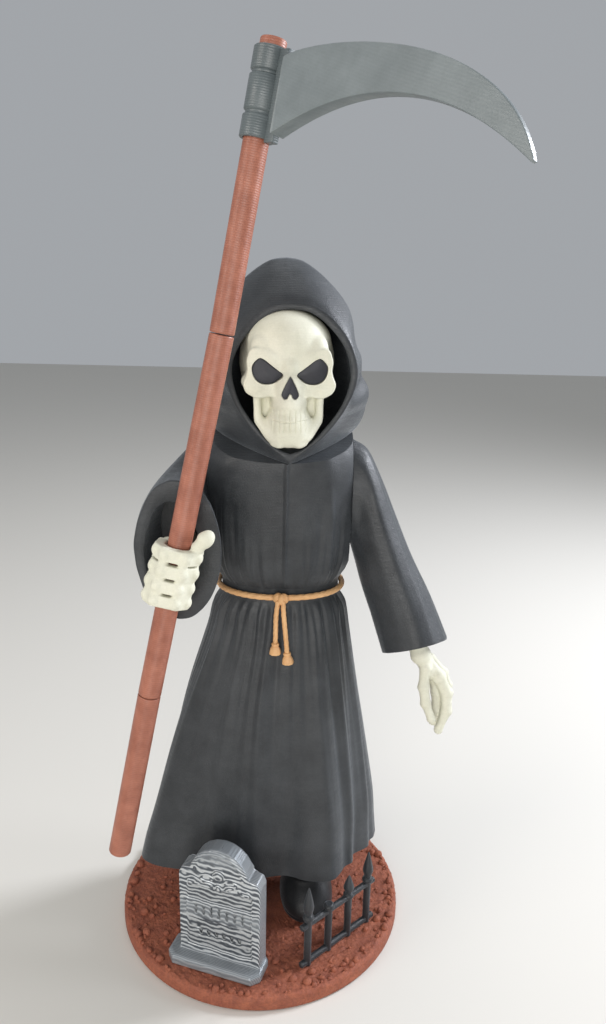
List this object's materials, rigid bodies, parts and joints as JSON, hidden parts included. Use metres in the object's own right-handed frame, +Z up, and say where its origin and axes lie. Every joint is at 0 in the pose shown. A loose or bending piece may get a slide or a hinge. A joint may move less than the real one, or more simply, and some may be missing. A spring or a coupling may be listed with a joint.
{
  "type": "grim reaper figurine",
  "caption": "Standing hooded skeleton figurine in a belted robe, holding a tall scythe, on a round earthen base with a tombstone and a broken iron fence.",
  "frame": {"origin": "middle of the round base's underside", "axes": "+Z up, the figure faces -Y, +X towards the figure's left hand"},
  "size_m": [0.1922, 0.2378, 0.4713],
  "materials": {
    "black_print": "matte black printed plastic with fine layer lines",
    "earth_print": "rough red-brown printed plastic, grained like soil",
    "bone_print": "ivory printed plastic",
    "socket_print": "dark grey printed plastic",
    "rope_print": "tan printed plastic",
    "stone_print": "silky silver-grey printed plastic, banded light and dark",
    "wood_print": "brown-red printed plastic with fine layer lines",
    "collar_print": "satin dark grey printed plastic",
    "blade_print": "satin silver-grey printed plastic"
  },
  "bodies": {
    "root": {"earth_base": "earth_print", "tombstone": "stone_print", "fence": "black_print", "left_boot": "black_print", "right_boot": "black_print", "robe_skirt": "black_print", "robe_torso": "black_print", "rope_belt": "rope_print", "hood": "black_print", "skull": "bone_print", "left_eye_insert": "socket_print", "right_eye_insert": "socket_print", "nose_insert": "socket_print", "right_sleeve": "black_print", "left_sleeve": "black_print", "right_hand": "bone_print", "left_hand": "bone_print", "shaft_top": "wood_print", "shaft_middle": "wood_print", "shaft_bottom": "wood_print", "blade_collar": "collar_print", "scythe_blade": "blade_print"}
  },
  "joints": []
}
